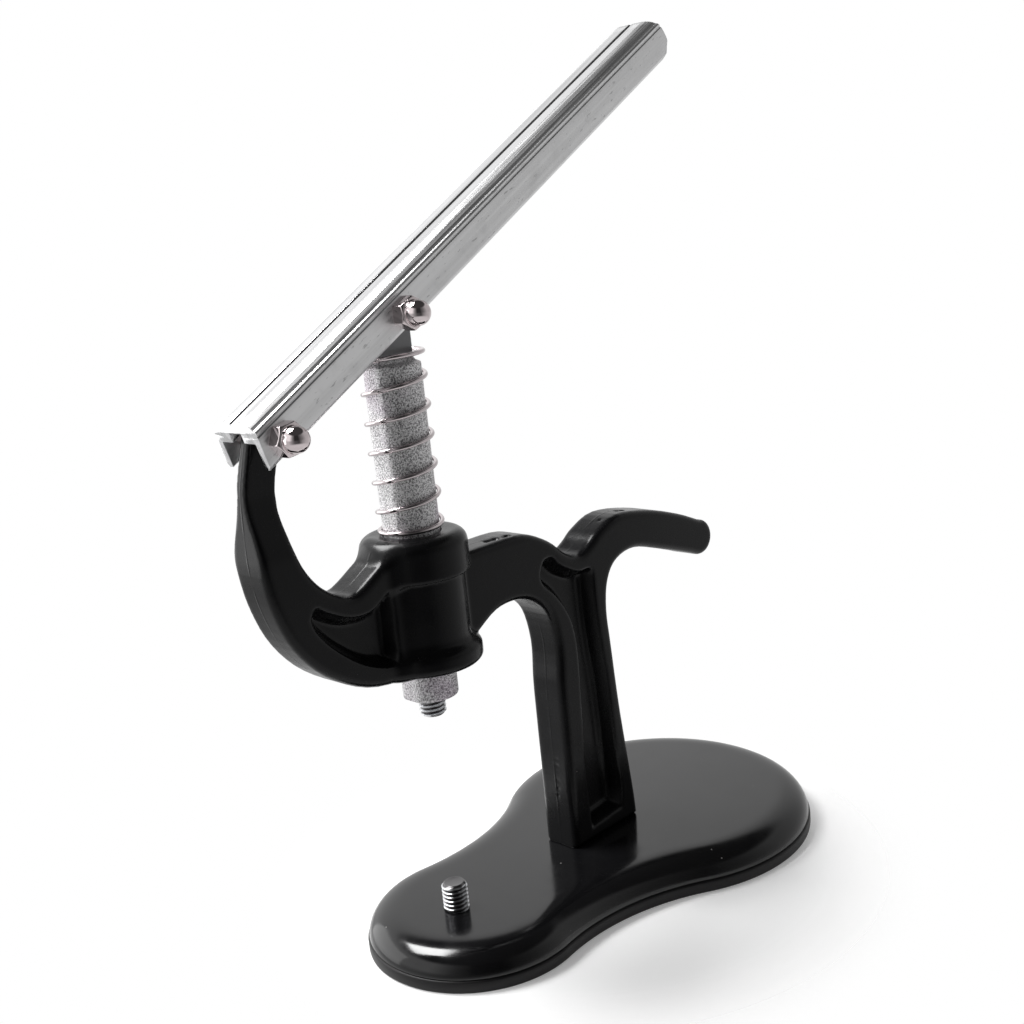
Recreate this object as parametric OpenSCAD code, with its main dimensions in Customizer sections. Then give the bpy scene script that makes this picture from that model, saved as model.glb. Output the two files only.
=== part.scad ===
// Hand lever press for setting snap fasteners: a cast C-frame on a weighted base, a round ram with an
// anti-rotation flat, a return spring round the ram and an extruded lever. Millimetres, +Z up. The origin is on
// the ram's axis at the underside of the base; +X runs back towards the column.

/* [Base] */
// Height of the base's top face above the table
base_top = 8.8; // [8:0.1:11]
// Thickness of the rubber pad under the base
pad_t = 3; // [2:0.1:3]
// Radius of the front lobe, under the ram
front_r = 25.6; // [24:0.2:28]
// Distance of the front lobe's centre behind the ram's axis
front_x = 5.8; // [4:0.1:8]
// Radius of the rear lobe, behind the column
rear_r = 40.7; // [38:0.1:42]
// Distance of the rear lobe's centre behind the ram's axis
rear_x = 72; // [70:1:76]
// Radius of the two hollow flanks between the lobes
waist_r = 56; // [44:1:60]
// Distance from the pad's edge in to the flat middle of the casting's top
base_edge_w = 9.7; // [7:0.1:11]

/* [Frame] */
// Thickness of the frame casting
frame_t = 10.6; // [9:0.2:11]
// Thickness of the tongue at the top of the arm
tongue_t = 3.2; // [3:0.1:3.5]
// Depth of the lightening pockets on each side
pocket_depth = 4; // [1:0.1:4.2]
// Radius of the boss that guides the ram
boss_r = 10.3; // [9.5:0.1:11]
// Radius of the collar round the boss's top
collar_r = 11.7; // [11:0.1:12.5]
// Radius of the flange round the boss's foot
flange_r = 12.5; // [11.5:0.1:13]
// Height of the seat that the spring stands on
spring_seat = 97.5; // [97:0.1:98]

/* [Ram] */
// Diameter of the ram
ram_d = 12.2; // [11.8:0.1:12.2]
// Distance of the ram's flat from its axis
ram_flat = 5.7; // [5.5:0.05:5.9]
// Height of the ram's lower face with the lever up
ram_foot = 60.6; // [58:0.2:63]
// Height of the ram's shoulder with the lever up
ram_shoulder = 133.5; // [131:0.5:134]
// Thread diameter of the anvil stud and the ram stud
stud_d = 6; // [5:1:6]
// Length of anvil stud that stands out of the base
anvil_proud = 6.4; // [4:0.2:8]
// Length of ram stud that stands out of the ram
ram_stud_proud = 4.6; // [4:0.2:8]

/* [Spring] */
// Diameter of the spring's wire
wire_d = 1; // [0.8:0.1:1]
// Mean diameter of the coils
coil_d = 13.5; // [13.4:0.1:14]
// Rise of each open coil
coil_pitch = 6.26; // [6:0.02:6.4]

/* [Lever] */
// Angle of the lever above the horizontal at rest
lever_angle = 30.5; // [29:0.5:31]
// Length of the lever from its front tip to its rounded end
lever_l = 152; // [130:1:180]
// Width of the lever's channel section
lever_w = 14.4; // [14:0.1:15]
// Distance between the two pivots
pivot_gap = 38.4; // [38:0.1:38.8]
// Diameter of the pivot bolts
bolt_d = 4; // [3.5:0.1:4]
// Width across the flats of the cap nuts
nut_af = 6.2; // [6:0.1:7]

/* [Hidden] */
$fn = 96;
run_gap = 0.05;                       // radial clearance of each running fit
pivot = [-34.2, 124.3];               // front pivot, x and z
lever_w2 = lever_w / 2;

// Base outline: two lobes joined by hollow flanks
lip_in = 0.6;                         // the casting stands this far inside the pad's edge
foot_x = [35.7, 59.6];                // front and rear of the column's foot
screw_x = [41.6, 53.6];               // frame screws, along X
screw_r = 2;
screw_head_r = 3.9;
screw_head_h = 2.6;
screw_l = 14;
stud_sunk = 5.4;                      // anvil stud, below the base's top face
ram_stud_sunk = 10;
sunk_d = stud_d - 1;                  // studs, where they are screwed home: the thread's core

function unit(v) = v / norm(v);
function arc(c, r, a0, a1, n = 12) = [for (i = [0:n]) c + r * [cos(a0 + (a1 - a0) * i / n), sin(a0 + (a1 - a0) * i / n)]];

// Smooth curve through the points p, with n steps between neighbours
function knot(p, i) = p[min(max(i, 0), len(p) - 1)];
function curve_at(a, b, c, d, t) =
    0.5 * ((2 * b) + (c - a) * t + (2 * a - 5 * b + 4 * c - d) * t * t + (3 * b - a - 3 * c + d) * t * t * t);
function smooth(p, n = 4) =
    [for (i = [0:len(p) - 2], k = [0:n - 1])
        curve_at(knot(p, i - 1), knot(p, i), knot(p, i + 1), knot(p, i + 2), k / n), p[len(p) - 1]];

// Centre of one flank's circle, and the lobes' meeting points with it
flank_a = front_r + waist_r;
flank_b = rear_r + waist_r;
lobe_gap = rear_x - front_x;
flank_x = (flank_a * flank_a - flank_b * flank_b + lobe_gap * lobe_gap) / (2 * lobe_gap);
flank = [front_x + flank_x, sqrt(flank_a * flank_a - flank_x * flank_x)];
meet_front = [front_x, 0] + front_r * unit(flank - [front_x, 0]);
meet_rear = [rear_x, 0] + rear_r * unit(flank - [rear_x, 0]);

// The base's outline moved inwards by d, anticlockwise from the front lobe's joint with the left flank
front_a = atan2(meet_front.y, meet_front.x - front_x);
rear_a = atan2(meet_rear.y, meet_rear.x - rear_x);
flank_from = atan2(flank.y, front_x - flank.x);
flank_to = atan2(flank.y, rear_x - flank.x);
function inside(p) = [for (i = [1:len(p) - 2]) p[i]];
function base_outline(d) = concat(
    arc([front_x, 0], front_r - d, front_a, 360 - front_a, 40),
    inside(arc([flank.x, -flank.y], waist_r + d, flank_from, flank_to, 12)),
    arc([rear_x, 0], rear_r - d, -rear_a, rear_a, 48),
    inside(arc(flank, waist_r + d, -flank_to, -flank_from, 12)));

module base_pad() {
    color("#26272a") difference() {
        linear_extrude(pad_t) polygon(base_outline(0));
        for (x = screw_x) translate([x, 0, -1]) cylinder(r = screw_head_r + 0.6, h = pad_t + 2);
    }
}

// A closed solid through level rings of points, each ring mirrored about the plane y = 0 from its point tip
module skin(rings, tip) {
    n = len(rings[0]);
    last = (len(rings) - 1) * n;
    walls = [for (i = [0:len(rings) - 2], k = [0:n - 1])
        let (a = i * n + k, b = i * n + (k + 1) % n) [a, a + n, b + n, b]];
    // Each cap is a row of strips from the right side straight across to the left
    strips = [for (j = [0:n / 2 - 1])
        let (a = tip + j, b = (tip - j + n) % n, c = (tip - j - 1 + n) % n) j == 0 ? [a, a + 1, c] :
            j == n / 2 - 1 ? [a, c, b] : [a, a + 1, c, b]];
    caps = concat(strips, [for (f = strips) [for (k = [len(f) - 1:-1:0]) last + f[k]]]);
    polyhedron(points = [for (r = rings, q = r) q], faces = concat(walls, caps), convexity = 6);
}

module base_casting() {
    // The wall rises from the pad and rolls over into the flat top: steep at its foot, soft at its shoulder
    foot_roll = 1.05;
    shoulder_roll = 0.71;
    rim = [for (a = [0:9:90]) [base_edge_w - (base_edge_w - lip_in) * pow(cos(a), shoulder_roll),
                               pad_t + (base_top - pad_t) * pow(sin(a), foot_roll)]];
    color("#141416") difference() {
        skin([for (step = rim) [for (q = base_outline(step[0])) [q.x, q.y, step[1]]]], 20);
        translate([0, 0, base_top - stud_sunk]) cylinder(d = sunk_d, h = stud_sunk + 1);
        for (x = screw_x) translate([x, 0, pad_t - 1]) {
            cylinder(r = screw_r + 0.25, h = base_top);
            cylinder(r = screw_head_r + 0.3, h = screw_head_h + 1.1);
        }
    }
}

// Outline of the frame seen from its right side, as x and z
column_front = [[foot_x[0], base_top], [35.8, 30], [35.8, 48]];
arch = smooth([[35.9, 52], [36.4, 61], [34.4, 69.4], [30, 73.8], [24.5, 75.7], [18, 75.2], [12, 72]]);
arm_bottom = smooth([[0, 68.5], [-9.5, 67.9], [-20, 69.4], [-29.6, 74.9], [-36.1, 82.2], [-39.7, 90.5],
                     [-41.2, 98.5], [-41.2, 107], [-40.6, 115], [-39.2, 120.5]]);
eye_r = 3.8;                          // the tongue's rounded end, round the front pivot
eye = arc(pivot, eye_r, 158, -8, 14);
arm_top = smooth([[-31.9, 120], [-33.4, 115], [-34, 108], [-32.8, 100.5], [-29.1, 94.3], [-24.7, 90.8],
                  [-21.3, 89.6], [-18.2, 90.6], [-13, 93.6], [-8.2, 96]]);
bridge_top = smooth([[8, 90.4], [18, 90.6], [28.8, 90.2], [36.7, 86.8], [42, 82.6], [46.3, 80.9], [50.3, 82.4],
                     [54.4, 85], [62, 87.3], [74, 85.6], [86, 81.9], [94.6, 78.3]]);
hook_tip = arc([94.3, 73.6], 4.7, 62, -104, 10);
hook_under = smooth([[90.5, 70.1], [78, 74.4], [67.5, 77.4], [60, 76.2], [56.2, 72], [54.9, 65], [55.4, 56],
                     [56.5, 40], [58, 26], [59.2, 15], [foot_x[1], base_top]]);
frame_outline = concat(column_front, arch, arm_bottom, eye, arm_top, bridge_top, hook_tip, hook_under);

// Lightening pockets, in the same view
column_pocket = smooth([[41.8, 12], [41.5, 28], [42, 42], [42.5, 56], [42, 63], [40.4, 68], [37, 73.1],
                        [33.2, 76.8], [32.3, 79.6], [34, 82.8], [37, 82.8], [40, 80], [45.2, 77.3], [50, 76.6],
                        [50.5, 70], [50.7, 64], [51.4, 56], [52.4, 47], [53, 36], [53.4, 26], [54, 18],
                        [53.4, 13]]);
arm_pocket = smooth([[-32.3, 87.6], [-30.6, 89.8], [-27.4, 87.9], [-22.6, 85.6], [-17.6, 85.2], [-14, 86.9],
                     [-11.8, 88], [-11.2, 84], [-11.3, 78], [-11.4, 73.6], [-12.8, 71.9], [-17, 72.9],
                     [-22, 75.5], [-27.6, 80.2], [-31.2, 84.6], [-32.3, 87.6]]);
taper = [101.5, 113];                 // heights between which the arm thins to the tongue

// Extrudes a side view to thickness t, centred on the frame's middle plane
module side_view(t) {
    rotate([90, 0, 0]) translate([0, 0, -t / 2]) linear_extrude(t) children();
}

// What the frame's thickness is allowed to fill at each height, as y and z
module thickness_gauge() {
    w = frame_t / 2;
    v = tongue_t / 2;
    translate([-50, 0, 0]) rotate([90, 0, 90]) linear_extrude(160)
        polygon([[-w, 0], [w, 0], [w, taper[0]], [v, taper[1]], [v, 140], [-v, 140], [-v, taper[1]], [-w, taper[0]]]);
}

module boss() {
    shoulder_r = 3;
    rotate_extrude() {
        translate([0, 68.2]) square([flange_r, 4.6]);
        translate([0, 70]) square([boss_r, 20]);
        translate([0, 88.5]) square([collar_r, spring_seat - 88.5 - shoulder_r]);
        translate([0, 90]) square([collar_r - shoulder_r, spring_seat - 90]);
        translate([collar_r - shoulder_r, spring_seat - shoulder_r]) circle(shoulder_r);
    }
}

// The ram's section, grown by g: a disc with one flat towards the arm
module ram_section(g) {
    intersection() {
        circle(r = ram_d / 2 + g);
        translate([-ram_flat - g, -ram_d]) square([2 * ram_d, 2 * ram_d]);
    }
}

module frame_casting() {
    color("#17181a") difference() {
        union() {
            intersection() {
                side_view(frame_t) polygon(frame_outline);
                thickness_gauge();
            }
            boss();
        }
        translate([0, 0, 60]) linear_extrude(50) ram_section(run_gap);
        translate([pivot.x, 0, pivot.y]) rotate([90, 0, 0])
            cylinder(r = bolt_d / 2 + run_gap, h = frame_t, center = true);
        for (side = [-1, 1]) translate([0, side * (frame_t - pocket_depth), 0]) {
            side_view(frame_t) polygon(column_pocket);
            side_view(frame_t) polygon(arm_pocket);
        }
        for (x = screw_x) translate([x, 0, 0]) cylinder(r = screw_r, h = screw_l + 6);
    }
}

module frame_screws() {
    head_z = pad_t + 0.1;
    color("#b9bbbf") for (x = screw_x) translate([x, 0, head_z]) difference() {
        union() {
            cylinder(r = screw_head_r, h = screw_head_h);
            cylinder(r = screw_r, h = screw_head_h + screw_l);
        }
        translate([0, 0, -1]) cylinder(r = 1.7, h = 2.6, $fn = 6);
    }
}

module anvil_stud() {
    color("#c9ccd0") {
        translate([0, 0, base_top - stud_sunk]) cylinder(d = sunk_d, h = stud_sunk);
        translate([0, 0, base_top]) cylinder(d = stud_d, h = anvil_proud);
    }
}

// The ram's head: a flat tongue with an oblong eye for the ram's pivot bolt
ram_pivot = pivot + pivot_gap * [cos(lever_angle), sin(lever_angle)];
bolt_travel = pivot_gap * (1 - cos(lever_angle));
head_t = 3.6;
head_w2 = 4.7;
head_r = 3.3;
slot_r = bolt_d / 2 + 0.45;

// A bar with round ends from the ram's pivot to where that bolt ends up with the lever level
module oblong(r) {
    translate(ram_pivot) circle(r);
    translate(ram_pivot + [bolt_travel, 0]) circle(r);
    translate(ram_pivot + [0, -r]) square([bolt_travel, 2 * r]);
}

module ram() {
    color("#9d9ba0") difference() {
        union() {
            translate([0, 0, ram_foot]) linear_extrude(ram_shoulder - ram_foot) ram_section(0);
            side_view(head_t) {
                translate([-head_w2, ram_shoulder - 1]) square([2 * head_w2, ram_pivot.y - ram_shoulder + 1]);
                oblong(head_r);
            }
        }
        side_view(2 * head_t) oblong(slot_r);
        translate([0, 0, ram_foot - 1]) cylinder(d = sunk_d, h = ram_stud_sunk + 1);
    }
}

module ram_stud() {
    color("#c4c7cc") {
        translate([0, 0, ram_foot - ram_stud_proud]) cylinder(d = stud_d, h = ram_stud_proud);
        translate([0, 0, ram_foot]) cylinder(d = sunk_d, h = ram_stud_sunk);
    }
}

// Return spring: a right-hand coil with closed ends, as a tube swept round the ram
spring_top = 136.4;
closed_low = 0.8;                     // turns at each end with the coils touching
closed_high = 0.6;
closed_pitch = 1.05 * wire_d;
spring_h = spring_top - spring_seat - wire_d;
open_turns = (spring_h - closed_pitch * (closed_low + closed_high)) / coil_pitch;
turns = closed_low + open_turns + closed_high;
function coil_z(t) = spring_seat + wire_d / 2 + closed_pitch * min(t, closed_low)
    + coil_pitch * min(max(t - closed_low, 0), open_turns)
    + closed_pitch * max(t - closed_low - open_turns, 0);

module return_spring() {
    sides = 8;
    rings = round(turns * 26);
    pts = [for (i = [0:rings], k = [0:sides - 1])
        let (t = turns * i / rings, a = 360 * t, b = 360 * k / sides, r = (coil_d + wire_d * cos(b)) / 2)
        [r * cos(a), r * sin(a), coil_z(t) + 0.02 + wire_d / 2 * sin(b)]];
    walls = [for (i = [0:rings - 1], k = [0:sides - 1])
        let (a = i * sides + k, b = i * sides + (k + 1) % sides) [a, b, b + sides, a + sides]];
    caps = [[for (k = [0:sides - 1]) sides - 1 - k], [for (k = [0:sides - 1]) rings * sides + k]];
    color("#c2c4c9") polyhedron(points = pts, faces = concat(walls, caps), convexity = 10);
}

// Lever: an extruded channel, open below, in its own frame with x along it and the front pivot at zero
lever_low = -2.95;
lever_crown = 6.5;
nose_lean = 0.246;                    // the front end is cut this much out of square
nose_x = -5.15;
inner_w2 = lever_w2 - 1.7;
guide_w2 = 1.9;                       // half width of the guide slot in the channel's roof
guide_top = 4.3;
roof = 2.4;
tail_x = nose_x + nose_lean * lever_low + lever_l;

// Right half of the section's outline, from the foot of the side wall to the crown
lever_half = [[lever_w2 - 0.6, lever_low], [lever_w2, lever_low + 0.8], [lever_w2, 3.6], [lever_w2 - 0.3, 3.9],
              [lever_w2, 4.25], [lever_w2, 4.6], [lever_w2 - 0.25, 4.95], [lever_w2 - 0.7, 5.1], [6, 5.6],
              [5.3, 6.05], [4.4, 6.35], [3.4, lever_crown], [0.5, lever_crown], [0.1, lever_crown - 0.5]];
function mirrored(p) = [for (i = [len(p) - 1:-1:0]) [-p[i].x, p[i].y]];

module lever_section() {
    difference() {
        polygon(concat(lever_half, mirrored(lever_half)));
        translate([-inner_w2, lever_low - 1]) square([2 * inner_w2, roof - lever_low + 1]);
        translate([-guide_w2, 0]) square([2 * guide_w2, guide_top]);
    }
}

// The lever's side view: a leaning front cut and a rounded tail
module lever_side() {
    tail_r = 10.5;
    heel_r = 3.4;
    tail_c = [tail_x - tail_r, 0.8];
    heel_c = [tail_x - heel_r - 0.9, lever_low + heel_r];
    polygon(concat([[nose_x + nose_lean * (lever_low - 1), lever_low - 1]],
                   [[heel_c.x - 2, lever_low - 1]], [[heel_c.x - 2, lever_low]],
                   arc(heel_c, heel_r, -90, -30, 6), arc(tail_c, tail_r, -4, 34, 10),
                   [[tail_c.x + 6, 8], [nose_x + nose_lean * 8, 8]]));
}

module on_lever() {
    translate([pivot.x, 0, pivot.y]) rotate([0, -lever_angle, 0]) children();
}

module lever_channel() {
    color("#c8cacd") on_lever() difference() {
        intersection() {
            translate([-10, 0, 0]) rotate([90, 0, 90]) linear_extrude(lever_l + 20) lever_section();
            side_view(2 * lever_w) lever_side();
        }
        for (x = [0, pivot_gap]) translate([x, 0, 0]) rotate([90, 0, 0])
            cylinder(r = bolt_d / 2 + run_gap, h = 2 * lever_w, center = true);
    }
}

// Pivot bolt: a hexagon head on the left side, its shank across the channel and into the cap nut
nut_hex_h = 3.1;
nut_h = 6.8;
nut_dome_d = 5.3;
nut_bore = 4.4;
head_af = 7;
head_h = 2.8;

module hexagon_bar(af, h) {
    cylinder(d = af / cos(30), h = h, $fn = 6);
}

module pivot_bolt() {
    color("#b4b6bb") rotate([90, 0, 0]) {
        translate([0, 0, -lever_w2 - head_h]) hexagon_bar(head_af, head_h);
        translate([0, 0, -lever_w2]) cylinder(d = bolt_d, h = lever_w + nut_bore - 0.2);
    }
}

module cap_nut() {
    color("#d6d2d4") rotate([90, 0, 0]) translate([0, 0, lever_w2]) difference() {
        union() {
            hexagon_bar(nut_af, nut_hex_h);
            cylinder(d = nut_dome_d, h = nut_h - nut_dome_d / 2);
            translate([0, 0, nut_h - nut_dome_d / 2]) sphere(d = nut_dome_d);
        }
        translate([0, 0, -1]) cylinder(d = bolt_d, h = nut_bore + 1);
    }
}

module at_front_pivot() {
    on_lever() children();
}

module at_ram_pivot() {
    on_lever() translate([pivot_gap, 0, 0]) children();
}

module front_pivot_bolt() {
    at_front_pivot() pivot_bolt();
}

module front_cap_nut() {
    at_front_pivot() rotate([0, 20, 0]) cap_nut();
}

module ram_pivot_bolt() {
    at_ram_pivot() pivot_bolt();
}

module ram_cap_nut() {
    at_ram_pivot() cap_nut();
}

base_pad();
base_casting();
frame_casting();
frame_screws();
anvil_stud();
ram();
ram_stud();
return_spring();
lever_channel();
front_pivot_bolt();
front_cap_nut();
ram_pivot_bolt();
ram_cap_nut();
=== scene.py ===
"""Looks of a hand lever press for setting snap fasteners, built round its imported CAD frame.

Lengths are in millimetres in the CAD frame: +Z up, +X back towards the column, the ram's axis at x = y = 0.
new_piece() turns them into metres.
"""

import math

import bmesh
import bpy
import numpy as np
from mathutils import Matrix, Vector
from mathutils.geometry import tessellate_polygon


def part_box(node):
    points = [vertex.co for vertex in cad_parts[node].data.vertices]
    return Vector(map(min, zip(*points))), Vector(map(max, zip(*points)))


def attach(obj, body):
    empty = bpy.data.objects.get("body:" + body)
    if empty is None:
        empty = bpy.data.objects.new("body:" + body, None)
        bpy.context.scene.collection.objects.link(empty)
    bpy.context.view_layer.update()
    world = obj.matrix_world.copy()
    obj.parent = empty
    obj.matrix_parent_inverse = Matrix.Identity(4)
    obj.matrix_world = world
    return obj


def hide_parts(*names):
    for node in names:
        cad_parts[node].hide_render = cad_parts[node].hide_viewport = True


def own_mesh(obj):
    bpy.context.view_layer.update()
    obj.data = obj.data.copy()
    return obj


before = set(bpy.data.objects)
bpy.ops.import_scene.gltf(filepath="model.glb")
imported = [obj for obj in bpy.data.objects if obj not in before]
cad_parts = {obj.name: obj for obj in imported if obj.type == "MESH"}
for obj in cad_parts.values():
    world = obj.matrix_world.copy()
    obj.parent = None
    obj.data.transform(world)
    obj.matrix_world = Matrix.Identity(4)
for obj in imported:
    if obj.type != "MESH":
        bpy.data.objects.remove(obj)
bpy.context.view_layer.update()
MM = 0.001


def corner(node, high):
    """A CAD node's lowest or highest corner, in millimetres."""
    return np.array(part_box(node)[1 if high else 0]) / MM


# Places that several pieces share. The pivots are in the plane y = 0, as (x, z)
pivot = np.array([-34.2, 124.3])
lever_angle, pivot_gap = 30.5, 38.4
lever_turn = math.radians(lever_angle)
ram_eye = pivot + pivot_gap * np.array([math.cos(lever_turn), math.sin(lever_turn)])
ram_shoulder = 133.5
spring_seat = 97.5
lever_w2 = 7.2

# ---------------------------------------------------------------- plane curves

def smooth(points, steps=4):
    """A smooth curve through the points, with that many steps between neighbours."""
    p = np.array(points, float)
    out = []
    for i in range(len(p) - 1):
        a, b, c, d = (p[min(max(k, 0), len(p) - 1)] for k in (i - 1, i, i + 1, i + 2))
        for t in np.arange(steps) / steps:
            out.append(0.5 * (2 * b + (c - a) * t + (2 * a - 5 * b + 4 * c - d) * t * t
                              + (3 * b - a - 3 * c + d) * t ** 3))
    return np.array(out + [p[-1]])


def arc(centre, r, start, end, steps):
    """Points on a circle, from one angle in degrees to another, in that many steps."""
    a = np.radians(np.linspace(start, end, steps + 1))
    return np.array(centre) + r * np.stack([np.cos(a), np.sin(a)], 1)


def polygon_distance(x, z, outline):
    """Signed distance from each point to a closed outline, negative inside."""
    nearest = np.full(np.broadcast(x, z).shape, np.inf)
    inside = np.zeros(nearest.shape, bool)
    for (ax, az), (bx, bz) in zip(outline, np.roll(outline, -1, 0)):
        ex, ez = bx - ax, bz - az
        length2 = ex * ex + ez * ez
        if length2 < 1e-12:
            continue
        t = np.clip(((x - ax) * ex + (z - az) * ez) / length2, 0, 1)
        nearest = np.minimum(nearest, (x - ax - t * ex) ** 2 + (z - az - t * ez) ** 2)
        if az != bz:
            between = (np.minimum(az, bz) <= z) & (z < max(az, bz))
            inside ^= between & (x < ax + (z - az) * ex / ez)
    return np.where(inside, -1, 1) * np.sqrt(nearest)


# ---------------------------------------------------------------- solids as distance fields

def both(a, b, r=0.0):
    """Where two solids overlap, with their common edges rounded to radius r."""
    if np.all(r == 0):
        return np.maximum(a, b)
    return (np.hypot(np.maximum(a + r, 0), np.maximum(b + r, 0))
            + np.minimum(np.maximum(a, b) + r, 0) - r)


def either(a, b, r=0.0):
    """Two solids joined, with a fillet of radius r between them."""
    return -both(-a, -b, r)


def without(a, b, r=0.0):
    """The first solid with the second cut out of it, and the cut's edges rounded to radius r."""
    return both(a, -b, r)


def surface(field, origin, step):
    """Points and quads on a sampled field's zero level, with one point in each cell it crosses."""
    solid = field < 0
    n = np.array(field.shape)
    filled = sum(solid[i:n[0] - 1 + i, j:n[1] - 1 + j, k:n[2] - 1 + k].astype(np.int8)
                 for i in (0, 1) for j in (0, 1) for k in (0, 1))
    crossed = (filled > 0) & (filled < 8)
    number = np.full(crossed.shape, -1)
    number[crossed] = np.arange(crossed.sum())
    cells = np.argwhere(crossed)
    total = np.zeros(cells.shape)
    hits = np.zeros(len(cells))
    unit = np.eye(3, dtype=int)
    for axis in range(3):
        u, v = unit[(axis + 1) % 3], unit[(axis + 2) % 3]
        for low in (cells, cells + u, cells + v, cells + u + v):
            f0, f1 = field[tuple(low.T)], field[tuple((low + unit[axis]).T)]
            hit = (f0 < 0) != (f1 < 0)
            point = low[hit].astype(float)
            point[:, axis] += f0[hit] / (f0[hit] - f1[hit])
            total[hit] += point
            hits[hit] += 1
    points = origin + step * total / hits[:, None]
    quads = []
    for axis in range(3):
        iu, iv = (axis + 1) % 3, (axis + 2) % 3
        u, v = unit[iu], unit[iv]
        low = solid[tuple(slice(0, n[k] - (k == axis)) for k in range(3))]
        high = solid[tuple(slice(int(k == axis), n[k]) for k in range(3))]
        g = np.argwhere(low != high)
        g = g[(g[:, iu] > 0) & (g[:, iv] > 0) & (g[:, iu] < n[iu] - 1) & (g[:, iv] < n[iv] - 1)]
        ring = np.stack([number[tuple((g - o).T)] for o in (u + v, v, 0 * u, u)], 1)
        outward = solid[tuple(g.T)]
        quads.append(np.where(outward[:, None], ring, ring[:, ::-1]))
    return points, np.concatenate(quads)


# ---------------------------------------------------------------- meshes

def new_piece(name, points, faces, material, sharp=None, recalculate=True):
    """A mesh object from points in millimetres, shaded smooth, or creased at edges over sharp degrees."""
    mesh = bpy.data.meshes.new(name)
    mesh.from_pydata((np.asarray(points, float) * MM).tolist(), [], [list(map(int, f)) for f in faces])
    mesh.validate()
    if recalculate:
        whole = bmesh.new()
        whole.from_mesh(mesh)
        bmesh.ops.remove_doubles(whole, verts=whole.verts, dist=1e-7)
        bmesh.ops.recalc_face_normals(whole, faces=whole.faces)
        whole.to_mesh(mesh)
        whole.free()
    mesh.shade_smooth()
    if sharp:
        mesh.set_sharp_from_angle(angle=math.radians(sharp))
    mesh.materials.append(material)
    piece = bpy.data.objects.new(name, mesh)
    bpy.context.scene.collection.objects.link(piece)
    return piece


def solid_piece(name, shape, low, high, step, material):
    """A piece whose surface is where shape(x, y, z) is zero, sampled every step millimetres."""
    low, high = np.array(low, float), np.array(high, float)
    counts = np.ceil((high - low) / step).astype(int) + 1
    x, y, z = (low[k] + step * np.arange(counts[k]) for k in range(3))
    field = shape(x[:, None, None], y[None, :, None], z[None, None, :])
    field = np.broadcast_to(field, counts).copy()
    field[field == 0] = 1e-9
    points, quads = surface(field, low, step)
    return new_piece(name, points, quads, material, recalculate=False)


def rings_to_faces(rows, columns):
    """Quads between rows of points that each close on themselves."""
    k = np.arange(columns)
    nxt = (k + 1) % columns
    return [q for i in range(rows - 1)
            for q in np.stack([k, nxt, nxt + columns, k + columns], 1) + i * columns]


def finish_piece(piece, body, slot, *nodes):
    """Puts a piece on its body, in place of CAD nodes."""
    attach(piece, body)
    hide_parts(*nodes)
    return piece


# ---------------------------------------------------------------- materials

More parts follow.
